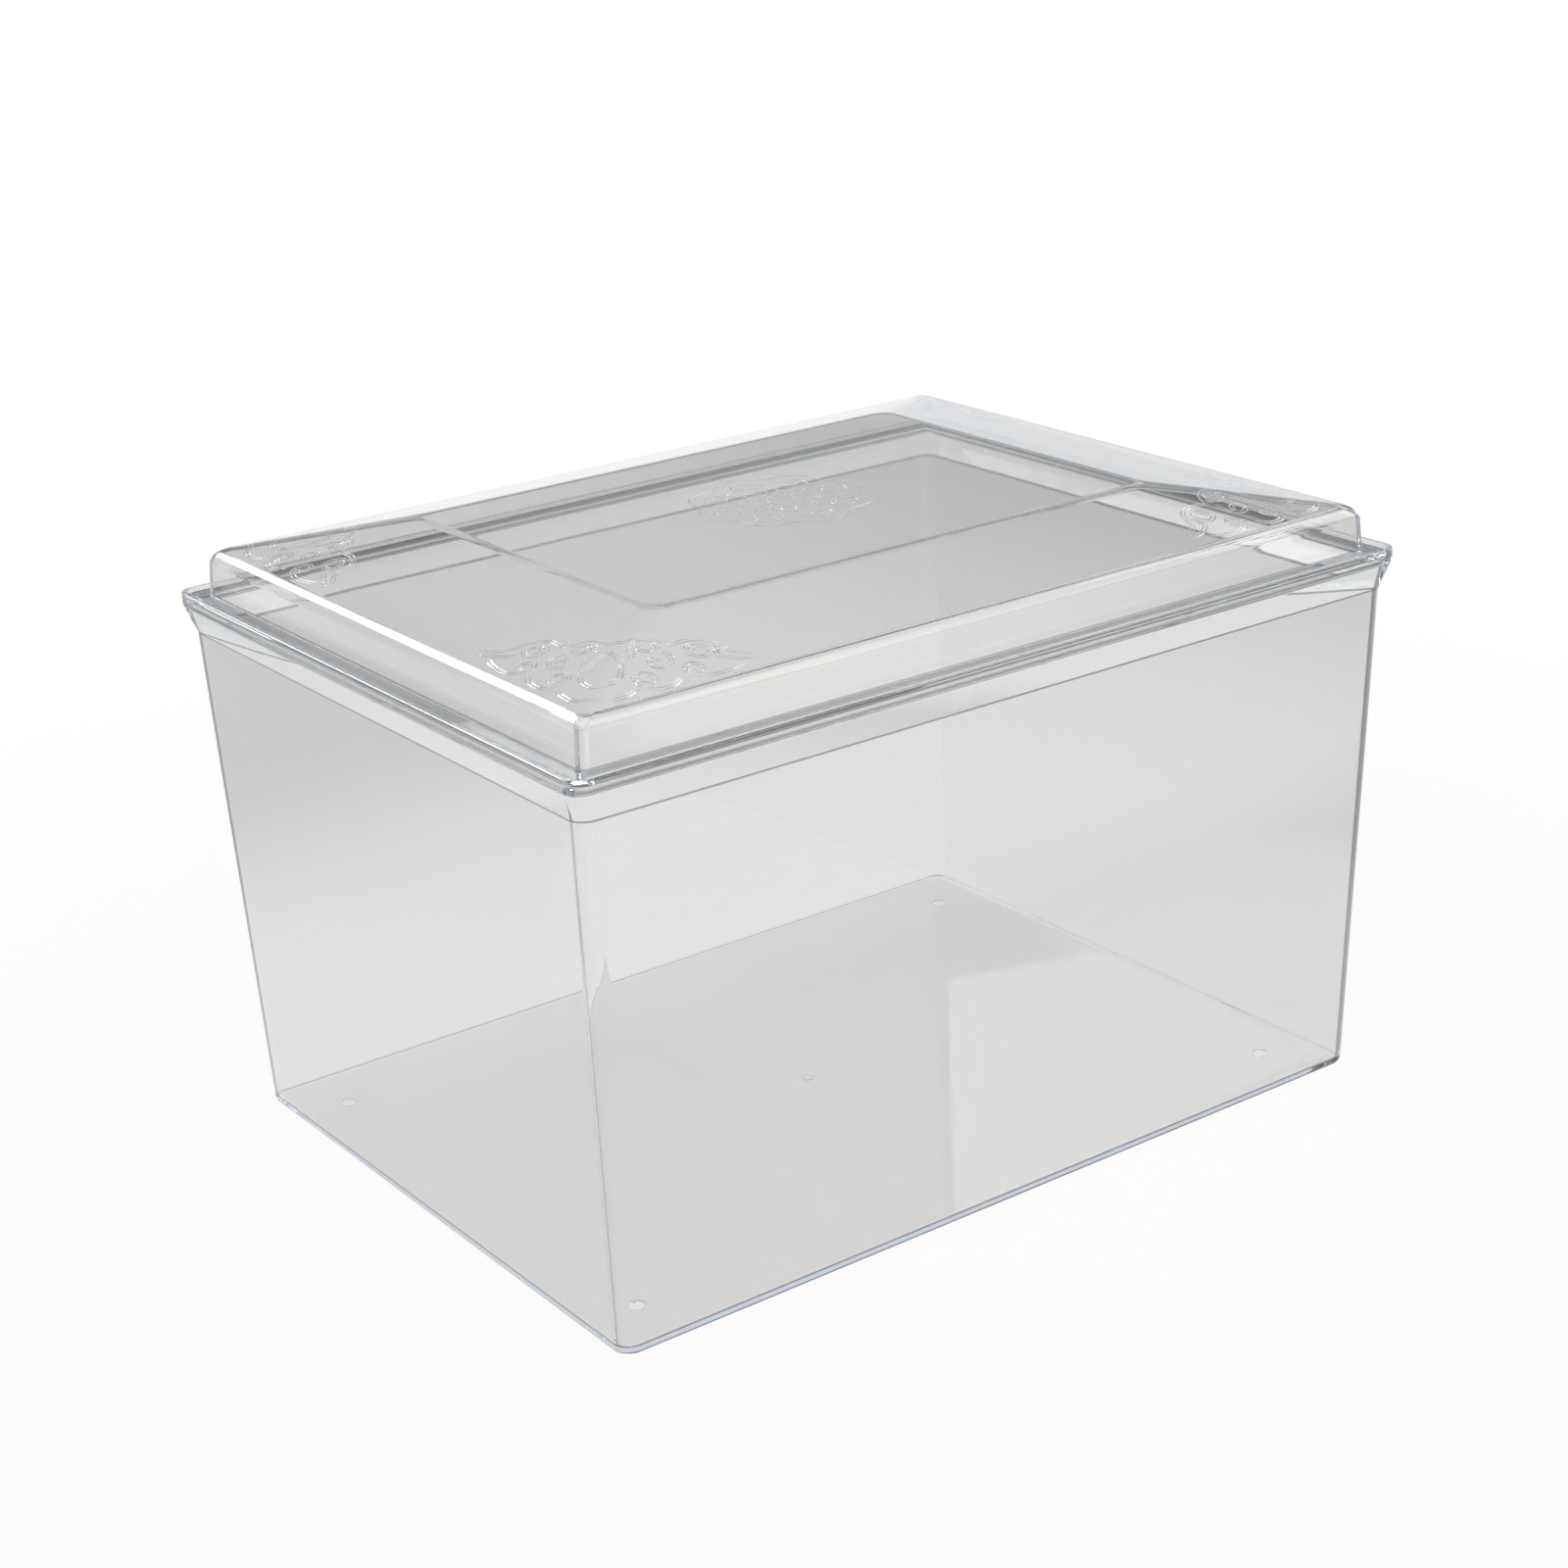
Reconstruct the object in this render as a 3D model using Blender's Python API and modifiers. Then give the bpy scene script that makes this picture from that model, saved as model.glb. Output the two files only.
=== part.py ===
"""Clear display cover box: a moulded tub with a flared rim, and a lid that lifts straight off.

The tub stands on four small round feet. Its walls lean out a little towards the top, then flare
to an upright lip. Inside the lip runs a flat ledge. The lid's flange drops inside the lip with a
small clearance and its turned-down foot rests on the ledge. Above the flange the lid rises in a
short skirt, a rounded shoulder and four sloping bands to a flat raised plateau.

Metres, +Z up. The origin is on the ground, under the middle of the box.
"""
import math

import bmesh
import bpy
from mathutils import Matrix, Vector

# Rim of the tub. Insets are measured inwards from the lip's outer face.
RIM_LENGTH = 0.390
RIM_WIDTH = 0.2975
RIM_HEIGHT = 0.2285
LIP_THICKNESS = 0.0026
LIP_HEIGHT = 0.0046
LIP_CORNER = 0.0073
LEDGE_WIDTH = 0.0026
LEDGE_DEPTH = 0.0061
FLARE_WIDTH = 0.0037
FLARE_HEIGHT = 0.012
FLARE_BEND = 0.004

# Walls and floor of the tub
WALL = 0.0024
WALL_CORNER = 0.007
DRAFT = math.radians(1.97)
FLOOR = 0.0026
BASE_EDGE_RADIUS = 0.003
FLOOR_EDGE_RADIUS = 0.002

# Feet and the trimmed moulding gate under the floor
FOOT_DIAMETER = 0.0065
FOOT_HEIGHT = 0.001
FOOT_EDGE_RADIUS = 0.0003
FOOT_FROM_END = 0.024
FOOT_FROM_SIDE = 0.029
GATE_DIAMETER = 0.005
GATE_HEIGHT = 0.0004

# Lid
LID_WALL = 0.0023
LID_CLEARANCE = 0.0004
SEAT_GAP = 0.0003
FLANGE_WIDTH = 0.0064
FLANGE_DEPTH = 0.0045
SKIRT_HEIGHT = 0.0175
SKIRT_DRAFT = math.radians(3.3)
SKIRT_CORNER = 0.004
SHOULDER_RADIUS = 0.006
END_BAND_WIDTH = 0.0656
SIDE_BAND_WIDTH = 0.0536
BAND_RISE = 0.0127
PLATEAU_BEND = 0.020
PLATEAU_CORNER = 0.008

# Clear polystyrene
PLASTIC_COLOUR = (0.93, 0.95, 0.96, 1.0)
PLASTIC_ROUGHNESS = 0.04
PLASTIC_IOR = 1.59

# Small roundings of the moulded edges, and how finely curves are divided
EDGE_RADIUS = 0.0004
EDGE_STEPS = 2
SHARP_EDGE = math.radians(38)
CORNER_STEPS = 12
BEND_STEPS = 5
SHOULDER_STEPS = 8
ROUND_STEPS = 32

# Sizes that follow from those above
kink_height = RIM_HEIGHT - LIP_HEIGHT - FLARE_HEIGHT
wall_lean = math.tan(DRAFT)
base_inset = FLARE_WIDTH + (kink_height - FOOT_HEIGHT) * wall_lean
floor_height = FOOT_HEIGHT + FLOOR
floor_inset = FLARE_WIDTH + (kink_height - floor_height) * wall_lean + WALL
ledge_height = RIM_HEIGHT - LEDGE_DEPTH
ledge_inset = LIP_THICKNESS + LEDGE_WIDTH
seat_height = ledge_height + SEAT_GAP
flange_inset = LIP_THICKNESS + LID_CLEARANCE
skirt_inset = flange_inset + FLANGE_WIDTH
shoulder_inset = skirt_inset + SKIRT_HEIGHT * math.tan(SKIRT_DRAFT)
shoulder_height = FLANGE_DEPTH + SKIRT_HEIGHT
plateau_height = shoulder_height + BAND_RISE


def clear_scene():
    """Removes what the start-up file holds."""
    for item in list(bpy.data.objects):
        bpy.data.objects.remove(item, do_unlink=True)


def new_collection(name):
    """Adds a collection under the scene's own."""
    collection = bpy.data.collections.new(name)
    bpy.context.scene.collection.children.link(collection)
    return collection


def clear_plastic(name):
    """Clear moulded polystyrene with polished faces."""
    material = bpy.data.materials.new(name)
    material.use_nodes = True
    shader = material.node_tree.nodes["Principled BSDF"]
    shader.inputs["Base Color"].default_value = PLASTIC_COLOUR
    shader.inputs["Metallic"].default_value = 0.0
    shader.inputs["Roughness"].default_value = PLASTIC_ROUGHNESS
    shader.inputs["IOR"].default_value = PLASTIC_IOR
    shader.inputs["Transmission Weight"].default_value = 1.0
    return material


def rounded_profile(corners):
    """Turns (inset, height, plan radius, bend radius, steps) corners into stations with arcs.

    A corner with no bend radius stays one station. Otherwise an arc takes its place, tangent to
    the straight lines before and after it.
    """
    points = [Vector(corner[:2]) for corner in corners]
    stations = []
    for index, (inset, height, plan_radius, bend_radius, steps) in enumerate(corners):
        if not bend_radius:
            stations.append((inset, height, plan_radius))
            continue
        corner = points[index]
        arriving = (corner - points[index - 1]).normalized()
        leaving = (points[index + 1] - corner).normalized()
        half_turn = arriving.angle(leaving) / 2
        reach = bend_radius * math.tan(half_turn)
        centre = corner + (leaving - arriving).normalized() * bend_radius / math.cos(half_turn)
        first = (corner - arriving * reach - centre).normalized()
        last = (corner + leaving * reach - centre).normalized()
        for step in range(steps + 1):
            point = centre + first.slerp(last, step / steps) * bend_radius
            stations.append((point.x, point.y, plan_radius))
    return stations


def add_section(mesh, end_station, side_station):
    """Ring of vertices round a rounded rectangle, counter-clockwise from the +X end.

    Its ends and its long sides may differ in inset and height. The corners blend between them.
    """
    end_inset, end_height, plan_radius = end_station
    side_inset, side_height, _ = side_station
    ring = []
    for quarter, (side_x, side_y) in enumerate(((1, 1), (-1, 1), (-1, -1), (1, -1))):
        centre_x = side_x * (RIM_LENGTH / 2 - end_inset - plan_radius)
        centre_y = side_y * (RIM_WIDTH / 2 - side_inset - plan_radius)
        for step in range(CORNER_STEPS + 1):
            angle = (quarter + step / CORNER_STEPS) * math.pi / 2
            x = centre_x + plan_radius * math.cos(angle)
            y = centre_y + plan_radius * math.sin(angle)
            height = end_height + (side_height - end_height) * math.sin(angle) ** 2
            ring.append(mesh.verts.new((x, y, height)))
    return ring


def loft(end_stations, side_stations, start_is_closed):
    """Skin through unlike rounded rectangles, one at each station. The last one is always filled."""
    mesh = bmesh.new()
    rings = [add_section(mesh, end, side) for end, side in zip(end_stations, side_stations)]
    for ring, next_ring in zip(rings, rings[1:]):
        for index in range(len(ring)):
            mesh.faces.new((ring[index - 1], ring[index], next_ring[index], next_ring[index - 1]))
    if start_is_closed:
        mesh.faces.new(reversed(rings[0]))
    mesh.faces.new(rings[-1])
    return mesh


def add_object(name, mesh, collection):
    """Makes an object of a bmesh and frees the bmesh."""
    data = bpy.data.meshes.new(name)
    mesh.to_mesh(data)
    mesh.free()
    item = bpy.data.objects.new(name, data)
    collection.objects.link(item)
    return item


def round_edges(item):
    """Breaks the sharp moulded edges."""
    bevel = item.modifiers.new("rounded edges", "BEVEL")
    bevel.width = EDGE_RADIUS
    bevel.segments = EDGE_STEPS
    bevel.limit_method = "ANGLE"
    bevel.angle_limit = SHARP_EDGE


def add_disc(mesh, x, y, bottom, top, diameter, edge_radius):
    """Upright round disc whose lower edge is rounded."""
    middle = (bottom + top) / 2
    made = bmesh.ops.create_cone(mesh, cap_ends=True, segments=ROUND_STEPS, depth=top - bottom,
                                 radius1=diameter / 2, radius2=diameter / 2,
                                 matrix=Matrix.Translation((x, y, middle)))
    lower = [vertex for vertex in made["verts"] if vertex.co.z < middle]
    rim = [edge for edge in mesh.edges if edge.verts[0] in lower and edge.verts[1] in lower]
    bmesh.ops.bevel(mesh, geom=rim, offset=edge_radius, offset_type="OFFSET", segments=EDGE_STEPS,
                    profile=0.5, affect="EDGES", material=-1)


def make_base_marks(collection):
    """Four feet and the gate mark, rooted half way into the floor, to be joined to the tub."""
    root_height = FOOT_HEIGHT + FLOOR / 2
    foot_x = RIM_LENGTH / 2 - base_inset - FOOT_FROM_END
    foot_y = RIM_WIDTH / 2 - base_inset - FOOT_FROM_SIDE
    mesh = bmesh.new()
    for side_x in (-1, 1):
        for side_y in (-1, 1):
            add_disc(mesh, side_x * foot_x, side_y * foot_y, 0.0, root_height,
                     FOOT_DIAMETER, FOOT_EDGE_RADIUS)
    add_disc(mesh, 0.0, 0.0, FOOT_HEIGHT - GATE_HEIGHT, root_height, GATE_DIAMETER, GATE_HEIGHT / 2)
    marks = add_object("base_marks", mesh, collection)
    marks.hide_render = True
    marks.display_type = "WIRE"
    return marks


def make_tub(collection, helpers):
    """The tub: underside, outer wall, lip, ledge, inner wall and floor as one closed loft."""
    lip_inner_corner = LIP_CORNER - LIP_THICKNESS
    inner_corner = WALL_CORNER - WALL
    flare_angle = math.atan2(FLARE_WIDTH, FLARE_HEIGHT)
    inner_kink_height = kink_height + WALL * math.tan(flare_angle / 2)
    underside_inset = base_inset + 2 * BASE_EDGE_RADIUS
    floor_middle_inset = floor_inset + 2 * FLOOR_EDGE_RADIUS
    corners = [
        (underside_inset, FOOT_HEIGHT, WALL_CORNER, 0, 0),
        (base_inset, FOOT_HEIGHT, WALL_CORNER, BASE_EDGE_RADIUS, BEND_STEPS),
        (FLARE_WIDTH, kink_height, WALL_CORNER, FLARE_BEND, BEND_STEPS),
        (0.0, RIM_HEIGHT - LIP_HEIGHT, LIP_CORNER, 0, 0),
        (0.0, RIM_HEIGHT, LIP_CORNER, 0, 0),
        (LIP_THICKNESS, RIM_HEIGHT, lip_inner_corner, 0, 0),
        (LIP_THICKNESS, ledge_height, lip_inner_corner, 0, 0),
        (ledge_inset, ledge_height, inner_corner, 0, 0),
        (FLARE_WIDTH + WALL, inner_kink_height, inner_corner, FLARE_BEND, BEND_STEPS),
        (floor_inset, floor_height, inner_corner, FLOOR_EDGE_RADIUS, BEND_STEPS),
        (floor_middle_inset, floor_height, inner_corner, 0, 0),
    ]
    stations = rounded_profile(corners)
    tub = add_object("tub", loft(stations, stations, start_is_closed=True), collection)
    tub.data.materials.append(clear_plastic("tub_plastic"))
    round_edges(tub)
    union = tub.modifiers.new("feet and gate", "BOOLEAN")
    union.operation = "UNION"
    union.solver = "EXACT"
    union.object = make_base_marks(helpers)
    return tub


def lid_stations(band_width):
    """Outer profile of the lid, where the sloping band has the given width."""
    flange_corner = LIP_CORNER - LIP_THICKNESS - LID_CLEARANCE
    plateau_inset = shoulder_inset + band_width
    return rounded_profile([
        (flange_inset, 0.0, flange_corner, 0, 0),
        (flange_inset, FLANGE_DEPTH, flange_corner, 0, 0),
        (skirt_inset, FLANGE_DEPTH, SKIRT_CORNER, 0, 0),
        (shoulder_inset, shoulder_height, SKIRT_CORNER, SHOULDER_RADIUS, SHOULDER_STEPS),
        (plateau_inset, plateau_height, PLATEAU_CORNER, PLATEAU_BEND, BEND_STEPS),
        (plateau_inset + PLATEAU_BEND, plateau_height, PLATEAU_CORNER, 0, 0),
    ])


def make_lid(collection):
    """The lid: one skin from the foot of its flange up to the plateau, given an even wall."""
    skin = loft(lid_stations(END_BAND_WIDTH), lid_stations(SIDE_BAND_WIDTH), start_is_closed=False)
    lid = add_object("lid", skin, collection)
    lid.data.materials.append(clear_plastic("lid_plastic"))
    lid.location.z = seat_height
    wall = lid.modifiers.new("wall", "SOLIDIFY")
    wall.thickness = LID_WALL
    wall.offset = -1.0
    wall.use_even_offset = True
    wall.use_quality_normals = True
    round_edges(lid)
    return lid


def shade(item):
    """Smooth shading over the curves, with the moulded edges kept sharp."""
    item.data.shade_smooth()
    item.data.set_sharp_from_angle(angle=SHARP_EDGE)


def main():
    clear_scene()
    parts = new_collection("display_cover_box")
    helpers = new_collection("helpers")
    stand = bpy.data.objects.new("stand_point", None)
    parts.objects.link(stand)
    for item in (make_tub(parts, helpers), make_lid(parts)):
        item.parent = stand
        shade(item)


main()
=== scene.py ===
import math

import bmesh
import bpy
from mathutils import Matrix, Vector
from mathutils.bvhtree import BVHTree
from mathutils.kdtree import KDTree


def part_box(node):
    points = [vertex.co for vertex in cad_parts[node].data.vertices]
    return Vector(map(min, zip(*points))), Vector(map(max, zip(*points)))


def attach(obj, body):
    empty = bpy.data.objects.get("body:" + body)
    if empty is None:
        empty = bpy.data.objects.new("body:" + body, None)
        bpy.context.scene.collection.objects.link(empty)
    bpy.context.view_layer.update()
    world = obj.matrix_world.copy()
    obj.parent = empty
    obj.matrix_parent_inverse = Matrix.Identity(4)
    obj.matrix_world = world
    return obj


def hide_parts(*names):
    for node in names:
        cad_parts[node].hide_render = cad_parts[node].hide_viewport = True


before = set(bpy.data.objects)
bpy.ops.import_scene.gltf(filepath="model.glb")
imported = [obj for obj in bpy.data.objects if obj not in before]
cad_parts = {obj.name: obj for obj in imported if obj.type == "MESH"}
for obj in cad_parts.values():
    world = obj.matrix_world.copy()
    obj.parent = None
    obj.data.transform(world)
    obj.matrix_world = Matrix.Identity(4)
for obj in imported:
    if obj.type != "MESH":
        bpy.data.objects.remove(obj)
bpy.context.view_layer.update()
print("frame in:", ", ".join(sorted(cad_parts)))


cameraLook = {
    "place": (-0.66622545, -0.93145756, 0.57150259),
    "rightward": (0.8051091, -0.59160912, -0.04240266),
    "upward": (0.24243928, 0.26299938, 0.9338386),
    "backward": (-0.54131556, -0.76212202, 0.35517248),
    "lens": 68.45,                # mm, as the sensor
    "sensor": 36.0,
    "clip": (0.01, 60.0),
}


def placeCamera(look):
    data = bpy.data.cameras.new("photoCamera")
    data.sensor_width = look["sensor"]
    data.sensor_fit = "HORIZONTAL"
    data.lens = look["lens"]
    data.clip_start, data.clip_end = look["clip"]
    camera = bpy.data.objects.new("photoCamera", data)
    bpy.context.scene.collection.objects.link(camera)
    turn = Matrix((look["rightward"], look["upward"], look["backward"])).transposed()
    camera.matrix_world = Matrix.Translation(look["place"]) @ turn.to_4x4()
    bpy.context.scene.camera = camera


def newTree(name):
    material = bpy.data.materials.new(name)
    material.use_nodes = True
    material.node_tree.nodes.clear()
    return material, material.node_tree


def addNode(tree, kind, **settings):
    node = tree.nodes.new(kind)
    for name, value in settings.items():
        setattr(node, name, value)
    return node


def join(tree, source, target):
    tree.links.new(source, target)


def maths(tree, operation, *values):
    # values are numbers or sockets
    node = addNode(tree, "ShaderNodeMath", operation=operation)
    for value, socket in zip(values, node.inputs):
        if isinstance(value, (int, float)):
            socket.default_value = value
        else:
            join(tree, value, socket)
    return node.outputs[0]


def ramp(tree, value, step):
    # smooth change from a first share to a last share between two places
    first, last, low, high = step
    change = addNode(tree, "ShaderNodeMapRange", interpolation_type="SMOOTHSTEP")
    join(tree, value, change.inputs["Value"])
    change.inputs["From Min"].default_value = low
    change.inputs["From Max"].default_value = high
    change.inputs["To Min"].default_value = first
    change.inputs["To Max"].default_value = last
    return change.outputs["Result"]


def blended(tree, share, first, second):
    blend = addNode(tree, "ShaderNodeMixShader")
    join(tree, share, blend.inputs["Fac"])
    join(tree, first, blend.inputs[1])
    join(tree, second, blend.inputs[2])
    return blend.outputs[0]


def glow(tree, kind, colour, strength=1.0):
    light = addNode(tree, kind)
    light.inputs["Color"].default_value = colour
    light.inputs["Strength"].default_value = strength
    return light


# Shares are (first, last, where it starts to change, where it ends).
stageLook = {
    "floorSide": 14.0,
    "floorColour": (0.86, 0.86, 0.865, 1.0),
    "white": (1.0, 1.0, 1.0, 1.0),
    # how far the floor is the plain white of the backdrop
    "seenWhite": (0.93, 1.0, 0.30, 0.80),      # to the camera, by the distance from the middle
    # Seen through the plastic the floor is less white in front, behind and to the right, and as mirrored its
    # white changes with distance: painted shade and painted reflection that tone the walls.
    "clearWhite": (0.46, 1.0, -0.04, 0.17),    # through the plastic, by the depth behind the middle,
    "clearBehind": (1.0, 0.45, 0.28, 0.54),    # times this by the depth or the next by the side,
    "clearBeside": (0.45, 1.0, 0.10, 0.22),    # whichever is larger,
    "clearRight": (1.0, 0.55, 0.30, 0.80),     # and times this by the side
    "mirrorNear": (0.80, 0.25, 0.33, 0.50),    # as the plastic mirrors it, by the distance: this
    "mirrorFar": (0.0, 1.0, 0.90, 1.30),       # or this, whichever is larger
    # how bright the room is, by the height looked at: as mirrored, and through the plastic
    "roomColour": (0.95, 0.97, 1.0, 1.0),
    "roomFades": ((0.95, 0.10, -0.05, 0.42), (1.0, 0.12, 0.10, 0.75)),
    "backdropWay": (0.58, 0.815, 0.0),         # the white backdrop stands on this side of the box
    "sideFade": (0.55, 1.0, -0.15, 0.65),      # the other sides of the room are darker
    "strayBounces": (2.0, 0.5),                # number, and how near to it counts
    "strayDim": 0.65,                          # darkening of what is seen after so many
}


def dimmed(tree, shader, path, look, kind):
    # what a ray sees after one mirroring inside the plastic is darker, which draws the outlines
    bounces = maths(tree, "ADD", path.outputs["Glossy Depth"], path.outputs["Is Transmission Ray"])
    stray = maths(tree, "COMPARE", bounces, *look["strayBounces"])
    dark = glow(tree, kind, (0.0, 0.0, 0.0, 1.0), 0.0)
    return blended(tree, maths(tree, "MULTIPLY", stray, look["strayDim"]), shader, dark.outputs[0])


def makeFloor(look):
    mesh = bmesh.new()
    bmesh.ops.create_grid(mesh, x_segments=1, y_segments=1, size=look["floorSide"] / 2)
    data = bpy.data.meshes.new("studioFloor")
    mesh.to_mesh(data)
    mesh.free()
    floor = bpy.data.objects.new("studioFloor", data)
    bpy.context.scene.collection.objects.link(floor)
    material, tree = newTree("paleFloor")
    paper = addNode(tree, "ShaderNodeBsdfDiffuse")
    paper.inputs["Color"].default_value = look["floorColour"]
    white = glow(tree, "ShaderNodeEmission", look["white"])
    path = addNode(tree, "ShaderNodeLightPath")
    place = addNode(tree, "ShaderNodeTexCoord")
    distance = addNode(tree, "ShaderNodeVectorMath", operation="LENGTH")
    join(tree, place.outputs["Object"], distance.inputs[0])
    split = addNode(tree, "ShaderNodeSeparateXYZ")
    join(tree, place.outputs["Object"], split.inputs[0])
    reach, side, depth = distance.outputs["Value"], split.outputs["X"], split.outputs["Y"]

    def share(value, name):
        return ramp(tree, value, look[name])

    clear = maths(tree, "MULTIPLY", share(depth, "clearWhite"), share(side, "clearRight"))
    behind = maths(tree, "MAXIMUM", share(depth, "clearBehind"), share(side, "clearBeside"))
    through = maths(tree, "MULTIPLY", clear, behind)
    mirror = maths(tree, "MAXIMUM", share(reach, "mirrorNear"), share(reach, "mirrorFar"))
    whiteShare = maths(tree, "MULTIPLY", path.outputs["Is Camera Ray"], share(reach, "seenWhite"))
    for flag, seen in (("Is Transmission Ray", through), ("Is Glossy Ray", mirror)):
        seen = maths(tree, "MULTIPLY", path.outputs[flag], seen)
        whiteShare = maths(tree, "MAXIMUM", whiteShare, seen)
    surface = blended(tree, whiteShare, paper.outputs["BSDF"], white.outputs["Emission"])
    out = addNode(tree, "ShaderNodeOutputMaterial")
    join(tree, dimmed(tree, surface, path, look, "ShaderNodeEmission"), out.inputs["Surface"])
    data.materials.append(material)


def makeSurroundings(look):
    world = bpy.data.worlds.new("studio")
    bpy.context.scene.world = world
    world.use_nodes = True
    tree = world.node_tree
    tree.nodes.clear()
    place = addNode(tree, "ShaderNodeTexCoord")
    split = addNode(tree, "ShaderNodeSeparateXYZ")
    join(tree, place.outputs["Generated"], split.inputs[0])
    toBackdrop = addNode(tree, "ShaderNodeVectorMath", operation="DOT_PRODUCT")
    join(tree, place.outputs["Generated"], toBackdrop.inputs[0])
    toBackdrop.inputs[1].default_value = look["backdropWay"]
    side = ramp(tree, toBackdrop.outputs["Value"], look["sideFade"])
    rooms = []
    for fade in look["roomFades"]:
        room = glow(tree, "ShaderNodeBackground", look["roomColour"])
        brightness = maths(tree, "MULTIPLY", ramp(tree, split.outputs["Z"], fade), side)
        join(tree, brightness, room.inputs["Strength"])
        rooms.append(room.outputs[0])
    white = glow(tree, "ShaderNodeBackground", look["white"])
    path = addNode(tree, "ShaderNodeLightPath")
    room = blended(tree, path.outputs["Is Transmission Ray"], *rooms)
    seen = blended(tree, path.outputs["Is Camera Ray"], room, white.outputs[0])
    out = addNode(tree, "ShaderNodeOutputWorld")
    join(tree, dimmed(tree, seen, path, look, "ShaderNodeBackground"), out.inputs["Surface"])


lampAim = (0.0, 0.0, 0.15)
lampLook = {
    "backSoftbox": {"place": (-0.62, 1.35, 1.15), "width": 1.3, "height": 0.6, "power": 12.0},
    "rightSoftbox": {"place": (1.75, -1.05, 1.5), "width": 2.6, "height": 1.7, "power": 19.0},
    "topSoftbox": {"place": (-0.3, -0.1, 1.9), "width": 1.8, "height": 1.8, "power": 10.0},
}


def placeLamp(name, look):
    data = bpy.data.lights.new(name, "AREA")
    data.shape = "RECTANGLE"
    data.size = look["width"]
    data.size_y = look["height"]
    data.energy = look["power"]
    lamp = bpy.data.objects.new(name, data)
    bpy.context.scene.collection.objects.link(lamp)
    aim = Vector(lampAim) - Vector(look["place"])
    lamp.rotation_euler = aim.to_track_quat("-Z", "Y").to_euler()
    lamp.location = look["place"]
    lamp.visible_camera = False


placeCamera(cameraLook)
makeFloor(stageLook)
makeSurroundings(stageLook)
for lampName, lampValues in lampLook.items():
    placeLamp(lampName, lampValues)
print("camera, floor and", len(lampLook), "lamps placed")


plasticLook = {
    "colour": (0.936, 0.932, 0.914, 1.0),
    "index": 1.59,
    "bodyTint": (0.72, 0.79, 0.88, 1.0),      # colour that light takes on along its way inside
    "bodyDensity": 30.0,
    "polish": 0.012,              # roughness of the clean surface
    "haze": 0.05,                 # and of the fine marks
    "escapeDepth": {"Glossy Depth": 3.5, "Ray Depth": 8.5},    # light trapped in a wall leaves it after this
    "flowScale": 7.0,
    "flowDetail": 1.0,
    "flowHeight": 0.00012,
    "scuffScale": 260.0,
    "scuffDetail": 3.0,
    "scuffShare": (0.55, 0.85),   # where the fine marks start and are full
    "shadowTint": (0.955, 0.955, 0.955, 1.0),
    # dark colour of the painted shade lines at the bends and the foot
    "creaseShadeColour": (0.36, 0.37, 0.39, 1.0),
}
# Painted shade: thin dark lines along the sharp bends, standing in for the dark lines that the real bends
# show by turning the light aside, and along the foot as a painted contact shadow: height and width.
# Only faces further out than outward have them.
partLook = {
    "tub": {
        "flowStretch": (1.0, 1.0, 0.35),
        "shadedCreases": {"foot": (0.0023, 0.0013), "kink": (0.2119, 0.0008), "lipBottom": (0.2240, 0.0007)},
        "outward": (0.1785, 0.1323),
    },
    "lid": {
        "flowStretch": (0.6, 0.6, 1.0),
        "shadedCreases": {"skirtFoot": (0.2273, 0.0007)},
        "outward": (0.1805, 0.1340),
    },
}


def creaseShadeShare(tree, place, part):
    # 1 on the thin painted shade lines in the outer faces, 0 elsewhere
    split = addNode(tree, "ShaderNodeSeparateXYZ")
    join(tree, place.outputs["Object"], split.inputs[0])
    share = None
    for height, width in part["shadedCreases"].values():
        near = maths(tree, "COMPARE", split.outputs["Z"], height, width / 2)
        share = maths(tree, "MAXIMUM", share, near) if share else near
    sides = []
    for axis, least in zip("XY", part["outward"]):
        sides.append(maths(tree, "GREATER_THAN", maths(tree, "ABSOLUTE", split.outputs[axis]), least))
    return maths(tree, "MULTIPLY", share, maths(tree, "MAXIMUM", *sides))


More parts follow.
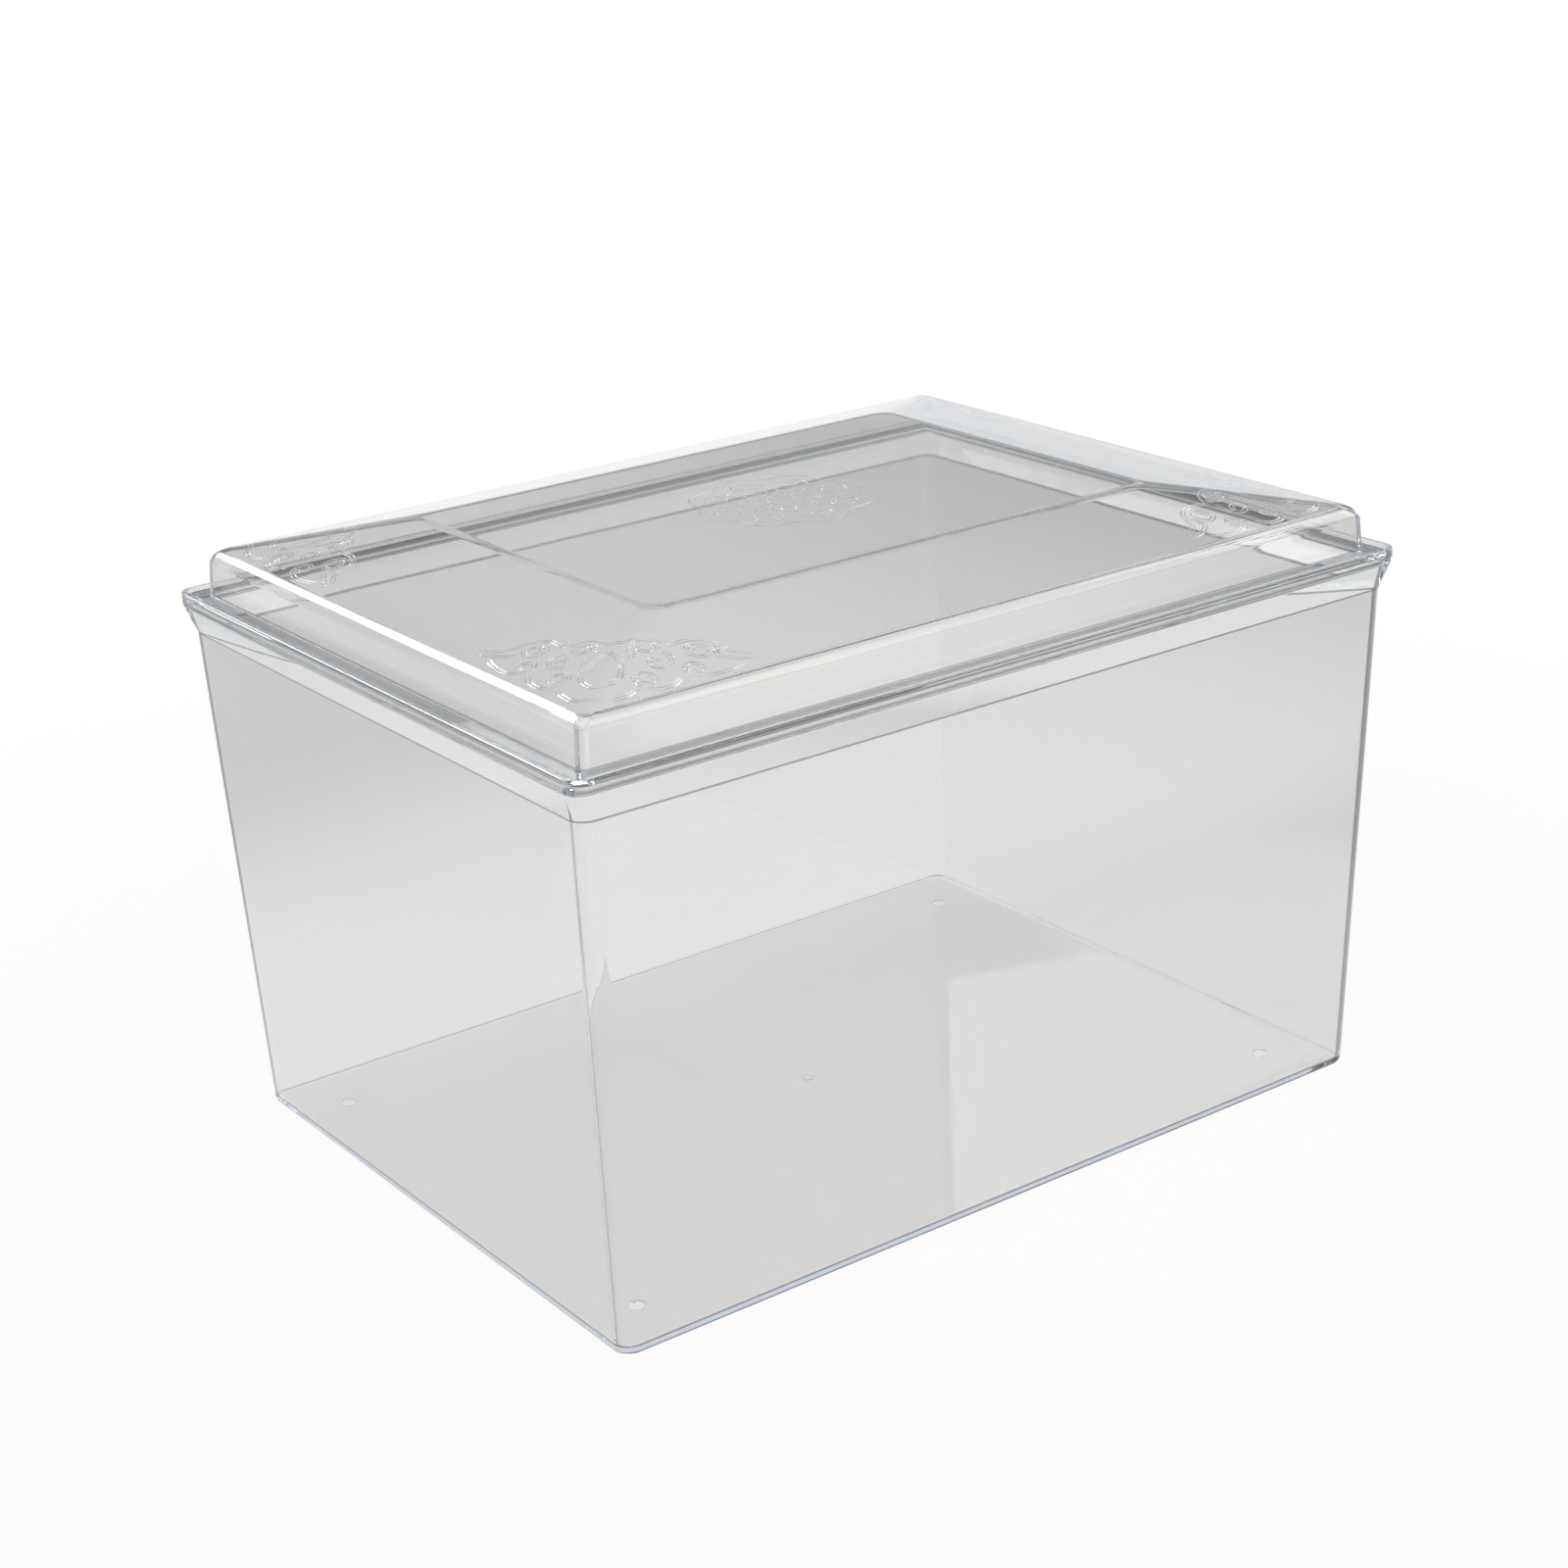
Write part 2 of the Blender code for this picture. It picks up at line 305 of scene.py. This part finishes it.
def makePlastic(name, look, part):
    material, tree = newTree(name)
    place = addNode(tree, "ShaderNodeTexCoord")
    flowPlace = addNode(tree, "ShaderNodeMapping")
    flowPlace.inputs["Scale"].default_value = part["flowStretch"]
    join(tree, place.outputs["Object"], flowPlace.inputs["Vector"])
    flow = addNode(tree, "ShaderNodeTexNoise")     # slow waves left by the melt as it filled the mould
    join(tree, flowPlace.outputs["Vector"], flow.inputs["Vector"])
    flow.inputs["Scale"].default_value = look["flowScale"]
    flow.inputs["Detail"].default_value = look["flowDetail"]
    scuffs = addNode(tree, "ShaderNodeTexNoise")   # fine handling marks
    join(tree, place.outputs["Object"], scuffs.inputs["Vector"])
    scuffs.inputs["Scale"].default_value = look["scuffScale"]
    scuffs.inputs["Detail"].default_value = look["scuffDetail"]
    haze = addNode(tree, "ShaderNodeMapRange")
    join(tree, scuffs.outputs["Fac"], haze.inputs["Value"])
    haze.inputs["From Min"].default_value, haze.inputs["From Max"].default_value = look["scuffShare"]
    haze.inputs["To Min"].default_value = look["polish"]
    haze.inputs["To Max"].default_value = look["haze"]
    wave = addNode(tree, "ShaderNodeBump")
    wave.inputs["Strength"].default_value = 1.0
    wave.inputs["Distance"].default_value = look["flowHeight"]
    join(tree, flow.outputs["Fac"], wave.inputs["Height"])
    # the colour darkens to painted shade on the lines at the bends and the foot
    colourWithCreaseShade = addNode(tree, "ShaderNodeMix", data_type="RGBA")
    join(tree, creaseShadeShare(tree, place, part), colourWithCreaseShade.inputs["Factor"])
    colourWithCreaseShade.inputs["A"].default_value = look["colour"]
    colourWithCreaseShade.inputs["B"].default_value = look["creaseShadeColour"]
    plastic = addNode(tree, "ShaderNodeBsdfPrincipled")
    join(tree, colourWithCreaseShade.outputs["Result"], plastic.inputs["Base Color"])
    plastic.inputs["IOR"].default_value = look["index"]
    plastic.inputs["Transmission Weight"].default_value = 1.0
    join(tree, haze.outputs["Result"], plastic.inputs["Roughness"])
    join(tree, wave.outputs["Normal"], plastic.inputs["Normal"])
    shade = addNode(tree, "ShaderNodeBsdfTransparent")
    shade.inputs["Color"].default_value = look["shadowTint"]
    path = addNode(tree, "ShaderNodeLightPath")
    leaves = path.outputs["Is Shadow Ray"]
    for count, most in look["escapeDepth"].items():
        leaves = maths(tree, "MAXIMUM", leaves, maths(tree, "GREATER_THAN", path.outputs[count], most))
    absorption = addNode(tree, "ShaderNodeVolumeAbsorption")
    absorption.inputs["Color"].default_value = look["bodyTint"]
    absorption.inputs["Density"].default_value = look["bodyDensity"]
    out = addNode(tree, "ShaderNodeOutputMaterial")
    surface = blended(tree, leaves, plastic.outputs["BSDF"], shade.outputs["BSDF"])
    join(tree, surface, out.inputs["Surface"])
    join(tree, absorption.outputs["Volume"], out.inputs["Volume"])
    return material


tubPlastic = makePlastic("tubClearPlastic", plasticLook, partLook["tub"])
lidPlastic = makePlastic("lidClearPlastic", plasticLook, partLook["lid"])
print("plastic mixed")


shellLook = {
    "weld": 0.00001,
    "sharpEdge": 12.0,            # degrees
    "evenWeight": 80,
}


def mergedCopy(node, name, look):
    mesh = bmesh.new()
    mesh.from_mesh(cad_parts[node].data)
    bmesh.ops.remove_doubles(mesh, verts=mesh.verts[:], dist=look["weld"])
    data = bpy.data.meshes.new(name)
    mesh.to_mesh(data)
    mesh.free()
    piece = bpy.data.objects.new(name, data)
    bpy.context.scene.collection.objects.link(piece)
    return piece


def finishShell(piece, material, look):
    # smooth faces with creases kept, and the plastic
    mesh = bmesh.new()
    mesh.from_mesh(piece.data)
    sharp = math.radians(look["sharpEdge"])
    for face in mesh.faces:
        face.smooth = True
    for edge in mesh.edges:
        edge.smooth = len(edge.link_faces) == 2 and edge.calc_face_angle() < sharp
    mesh.to_mesh(piece.data)
    mesh.free()
    piece.data.materials.clear()
    piece.data.materials.append(material)
    even = piece.modifiers.new("evenShading", "WEIGHTED_NORMAL")
    even.keep_sharp = True
    even.weight = look["evenWeight"]


tubShell = mergedCopy("tub", "tubShell", shellLook)
finishShell(tubShell, tubPlastic, shellLook)
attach(tubShell, "box")
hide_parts("tub")
print("tub dressed")


# Lengths along the strokes are in millimetres, those of ridge, weld and cuts in metres. Points are (from
# the nearer end, from the nearer side), on one half of a corner piece. A curl is its centre, its radius
# and its turns.
scrollLook = {
    "ridgeRadius": 0.00040,
    "ridgeSink": 0.00013,         # how deep the middle of a ridge lies in the lid's underside
    "ridgeRounding": 2,
    "weld": 0.000001,
    "endRadius": (0.7, 0.1),      # share of the radius at a ridge's end, and growth from point to point
    "lineGap": 1.5,               # between the two lines of a stroke
    "endGap": 0.7,                # share of it at the ends
    "taper": 3.5,                 # length in which it widens by one whole gap
    "curlEye": 2.4,               # radius at which a curl ends
    "curlPoints": 8,              # at least
    "pitch": 1.3,                 # between the windings of a curl
    "leastTurns": 0.85,
    "sharpestTurn": 0.47,         # radians from one point to the next
    "easePasses": 60,
    "cellCuts": (0.015, 0.040, 0.099, 0.117, 0.135, 0.153, 0.171),   # from the middle
    "apart": 1.25,                # what a stroke keeps from the ones laid before it
    "pairApart": 0.95,            # and what its second line keeps from its first, and each from itself
    "lastPoints": 3,              # these don't count for how near a line comes to itself
    "shortestRun": 5,             # points, shorter ones are left out
    "step": 1.1,                  # between points along a stroke
    "halfStrokes": {
        "bigLobe": [(41.2, 67.0), (42.0, 71.5), (41.7, 76.5), (39.6, 81.0), (36.2, 83.4), (32.8, 84.0),
                    (29.8, 85.2), (27.0, 88.0), (24.2, 92.5)],
        "tipCurl": [(22.2, 92.0), (23.4, 86.5), (26.0, 82.0), (29.2, 78.5),
                    ("curl", 34.2, 75.6, 5.8, -1.75)],
        "smallCurl": [(37.4, 48.8), (41.2, 51.8), (45.0, 54.2), (47.6, 56.9),
                      ("curl", 44.6, 59.4, 3.9, 1.5)],
        "edgeWave": [(20.6, 84.5), (18.8, 78.0), (18.6, 71.5), (20.4, 66.0), (24.1, 63.7),
                     ("curl", 25.0, 67.2, 3.6, 1.4)],
        "innerLeaf": [(38.8, 63.4), (35.0, 63.8), (31.6, 61.8), (30.2, 57.6),
                      ("curl", 33.4, 57.4, 3.2, 1.3)],
        "cornerWave": [(21.6, 59.5), (18.6, 54.0), (18.9, 47.6), (22.2, 43.9), (26.9, 43.7),
                       ("curl", 26.2, 47.6, 4.0, 1.4)],
    },
    "wholeStrokes": {
        "cornerEdge": [(21.6, 40.6), (19.6, 36.0), (19.4, 30.4), (21.0, 26.0), (24.0, 24.0)],
        "smallLobes": [(40.6, 64.2), (44.2, 65.6), (48.4, 63.6), (50.4, 59.8), (50.8, 56.4), (53.8, 53.8)],
    },
    "drop": [(30.0, 30.0), (29.0, 36.5), (32.6, 42.0), (38.6, 45.8), (44.6, 47.8), (49.2, 49.2)],
}

# Millimetres from the middle of the lid.
medallionLook = {
    "lobes": 8,
    "lobeRadius": 35.0,
    "lobeDepth": 2.2,
    "lobePoints": 160,
    "eyeRadius": 6.0,
    "eyePoints": 36,
    "stem": [(20.0, -2.4), (23.0, -7.4), (26.6, -5.9)],
    "curlCentre": 25.2,
    "curlRadius": 6.2,
    "curlEye": 1.3,
    "curlTurns": 1.6,
    "petal": [(8.4, 0.0), (12.2, 3.1), (17.2, 0.0), (12.2, -3.1)],
}


def smoothLine(points, closed=False):
    # even line of points through the given ones
    ends = points[-1:] + points + points[:2] if closed else points[:1] + points + points[-1:]
    line = []
    for before, start, end, after in zip(ends, ends[1:], ends[2:], ends[3:]):
        before, start, end, after = (Vector(point) for point in (before, start, end, after))
        pieces = max(1, round((end - start).length / scrollLook["step"]))
        for piece in range(pieces):
            t = piece / pieces
            square = (2 * before - 5 * start + 4 * end - after) * t ** 2
            cube = (3 * start - before - 3 * end + after) * t ** 3
            line.append(0.5 * (2 * start + (end - before) * t + square + cube))
    return line if closed else line + [Vector(points[-1])]


def along(angle):
    return Vector((math.cos(angle), math.sin(angle)))


def curl(first, centre, outer, inner, turns):
    # spiral that goes on from a stroke's last point towards its centre
    start = math.atan2(first.y - centre.y, first.x - centre.x)
    length = math.pi * (outer + inner) * abs(turns)
    count = max(scrollLook["curlPoints"], round(length / scrollLook["step"]))
    line = []
    for index in range(1, count + 1):
        t = index / count
        radius = outer + (inner - outer) * t
        angle = start + 2 * math.pi * turns * t
        line.append(centre + along(angle) * radius)
    return line


def strokeLine(points, look):
    if points[-1][0] != "curl":
        return smoothLine(points)
    line = smoothLine(points[:-1])
    _, centreX, centreY, outer, turns = points[-1]
    most = max(look["leastTurns"], (outer - look["curlEye"]) / look["pitch"])
    turns = max(-most, min(most, turns))
    return line + curl(line[-1], Vector((centreX, centreY)), outer, look["curlEye"], turns)


def eased(line, isRing, look):
    # sharp turns are rounded until a ridge can follow them
    count = len(line)
    for _ in range(look["easePasses"]):
        sharp = set()
        for index in range(count) if isRing else range(1, count - 1):
            into, onward = line[index] - line[index - 1], line[(index + 1) % count] - line[index]
            if into.angle(onward, math.pi) > look["sharpestTurn"]:
                sharp.update(((index - 1) % count, index, (index + 1) % count))
        moved = list(line)
        for index in sharp:
            if isRing or 0 < index < count - 1:
                moved[index] = (line[index - 1] + 2 * line[index] + line[(index + 1) % count]) / 4
        line = moved
    return line


def doubled(line, isRing, look):
    # the two lines of a stroke, which run together at its ends
    line = eased(line, isRing, look)
    pair = ([], [])
    count = len(line)
    for index, point in enumerate(line):
        after = line[(index + 1) % count] if isRing else line[min(index + 1, count - 1)]
        before = line[index - 1] if isRing else line[max(index - 1, 0)]
        onward = (after - before).normalized()
        fromEnd = min(index, count - 1 - index) * look["step"]
        gap = look["lineGap"] / 2 * (1.0 if isRing else min(1.0, look["endGap"] + fromEnd / look["taper"]))
        for side, copies in zip((1, -1), pair):
            copies.append(point + Vector((-onward.y, onward.x)) * gap * side)
    return [(copies, isRing) for copies in pair]


def clearRuns(line, isRing, laid, least, look):
    # the parts of a line that keep clear of the points laid before
    if not laid:
        return [(line, isRing)]
    tree = KDTree(len(laid))
    for index, point in enumerate(laid):
        tree.insert((point.x, point.y, 0.0), index)
    tree.balance()
    free = [tree.find((point.x, point.y, 0.0))[2] > least for point in line]
    if all(free):
        return [(line, isRing)]
    if isRing:
        start = free.index(False)
        line, free = line[start:] + line[:start], free[start:] + free[:start]
    runs = [[]]
    for point, isFree in zip(line, free):
        if isFree:
            runs[-1].append(point)
        elif runs[-1]:
            runs.append([])
    return [(run, False) for run in runs if len(run) >= look["shortestRun"]]


def cutShort(line, look):
    # an open line ends before it would touch itself
    last = look["lastPoints"]
    for index in range(last + 1, len(line)):
        if any((line[index] - earlier).length < look["pairApart"] for earlier in line[:index - last]):
            return line[:index]
    return line


def keptApart(strokes, look):
    # each stroke stops where it would run into an earlier one, as if it went on behind it
    laid, runs = [], []
    for lines in strokes:
        own = []
        for line, isRing in lines:
            line = line if isRing else cutShort(line, look)
            for run, stillRing in clearRuns(line, isRing, laid, look["apart"], look):
                pieces = clearRuns(run, stillRing, own, look["pairApart"], look)
                runs += pieces
                for piece, _ in pieces:
                    own += piece
        laid += own
    return runs


def mirrored(line):
    return [Vector((point.y, point.x)) for point in line]


def cornerStrokes(look):
    strokes = []
    for points in look["halfStrokes"].values():
        line = strokeLine(points, look)
        strokes += [(line, False), (mirrored(line), False)]
    for points in look["wholeStrokes"].values():
        half = [Vector(point) for point in points]
        strokes.append((smoothLine(half + mirrored(half[:-1])[::-1]), False))
    half = [Vector(point) for point in look["drop"]]
    strokes.append((smoothLine(half + mirrored(half[1:-1])[::-1], closed=True), True))
    return keptApart([doubled(line, isRing, look) for line, isRing in strokes], look)


def medallionStrokes(look):
    lobes = look["lobes"]
    ring = []
    for index in range(look["lobePoints"]):
        angle = 2 * math.pi * index / look["lobePoints"]
        ring.append(along(angle) * (look["lobeRadius"] + look["lobeDepth"] * math.cos(lobes * angle)))
    eyePoints = look["eyePoints"]
    eye = [along(2 * math.pi * index / eyePoints) * look["eyeRadius"] for index in range(eyePoints)]
    strokes = [(ring, True), (eye, True)]
    stem = smoothLine(look["stem"])
    middle = Vector((look["curlCentre"], 0.0))
    stem += curl(stem[-1], middle, look["curlRadius"], look["curlEye"], look["curlTurns"])
    petal = smoothLine(look["petal"], closed=True)
    half = Matrix.Rotation(math.pi / lobes, 2)
    for lobe in range(lobes):
        turn = Matrix.Rotation(2 * math.pi * lobe / lobes, 2)
        strokes.append(([turn @ point for point in stem], False))
        strokes.append(([half @ turn @ point for point in petal], True))
    return strokes


def layRidges(name, strokes, surface, look):
    # tubes partly sunk in the lid's underside, one for each line
    data = bpy.data.curves.new(name, "CURVE")
    data.dimensions = "3D"
    data.bevel_depth = look["ridgeRadius"]
    data.bevel_resolution = look["ridgeRounding"]
    data.use_fill_caps = True
    least, growth = look["endRadius"]
    for line, isRing in strokes:
        spline = data.splines.new("POLY")
        spline.points.add(len(line) - 1)
        spline.use_cyclic_u = isRing
        for index, point in enumerate(line):
            spot, normal, _, _ = surface.ray_cast(Vector((point.x, point.y, 0.0)), Vector((0.0, 0.0, 1.0)))
            spot = spot - normal * look["ridgeSink"]
            fromEnd = min(index, len(line) - 1 - index)
            spline.points[index].co = (*spot, 1.0)
            spline.points[index].radius = 1.0 if isRing else min(1.0, least + growth * fromEnd)
    curve = bpy.data.objects.new(name, data)
    bpy.context.scene.collection.objects.link(curve)
    graph = bpy.context.evaluated_depsgraph_get()
    mesh = bpy.data.meshes.new_from_object(curve.evaluated_get(graph))
    bpy.data.objects.remove(curve)
    tubes = bmesh.new()
    tubes.from_mesh(mesh)
    bmesh.ops.remove_doubles(tubes, verts=tubes.verts[:], dist=look["weld"])
    bmesh.ops.recalc_face_normals(tubes, faces=tubes.faces[:])
    bmesh.ops.triangulate(tubes, faces=tubes.faces[:])
    tubes.to_mesh(mesh)
    tubes.free()
    ridges = bpy.data.objects.new(name, mesh)
    bpy.context.scene.collection.objects.link(ridges)
    return ridges


def scrollworkLines():
    high = Vector(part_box("tub")[1])
    corners = [(sideX, sideY) for sideX in (-1, 1) for sideY in (-1, 1)]
    lines = []
    for line, isRing in cornerStrokes(scrollLook):
        places = [(high.x - point.x / 1000, high.y - point.y / 1000) for point in line]
        lines += [([Vector((sideX * x, sideY * y)) for x, y in places], isRing) for sideX, sideY in corners]
    centre = keptApart([[stroke] for stroke in medallionStrokes(medallionLook)], scrollLook)
    return lines + [([point / 1000 for point in line], isRing) for line, isRing in centre]


def cutCells(lid, look):
    # planar cuts, so that no face of the lid carries too many ridges
    mesh = bmesh.new()
    mesh.from_mesh(lid.data)
    for axis in (0, 1):
        for place in look["cellCuts"]:
            for side in (-1, 1):
                spot, normal = Vector((0.0, 0.0, 0.0)), Vector((0.0, 0.0, 0.0))
                spot[axis], normal[axis] = side * place, 1.0
                parts = mesh.verts[:] + mesh.edges[:] + mesh.faces[:]
                bmesh.ops.bisect_plane(mesh, geom=parts, dist=look["weld"], plane_co=spot, plane_no=normal)
    mesh.to_mesh(lid.data)
    mesh.free()


def undersideOf(lid):
    mesh = bmesh.new()
    mesh.from_mesh(lid.data)
    surface = BVHTree.FromBMesh(mesh)
    mesh.free()
    return surface


def fuseRidges(lid, ridges):
    fuse = lid.modifiers.new("scrollwork", "BOOLEAN")
    fuse.operation = "UNION"
    fuse.solver = "MANIFOLD"
    fuse.object = ridges
    fused = bpy.data.meshes.new_from_object(lid.evaluated_get(bpy.context.evaluated_depsgraph_get()))
    lid.modifiers.clear()
    whole = len(fused.polygons) > len(lid.data.polygons)
    if whole:                     # a join that fails gives the lid back plain, or nothing
        lid.data = fused
    bpy.data.objects.remove(ridges)
    return whole


lidShell = mergedCopy("lid", "lidShell", shellLook)
cutCells(lidShell, scrollLook)
ridgeLines = scrollworkLines()
isJoined = fuseRidges(lidShell, layRidges("ridges", ridgeLines, undersideOf(lidShell), scrollLook))
outcome = "joined to the lid" if isJoined else "left off, the join failed"
print("scrollwork:", len(ridgeLines), "ridges", outcome)
finishShell(lidShell, lidPlastic, shellLook)
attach(lidShell, "cover")
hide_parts("lid")
print("lid dressed:", len(lidShell.data.polygons), "faces")


viewSettings = bpy.context.scene.view_settings
viewSettings.view_transform = "Standard"
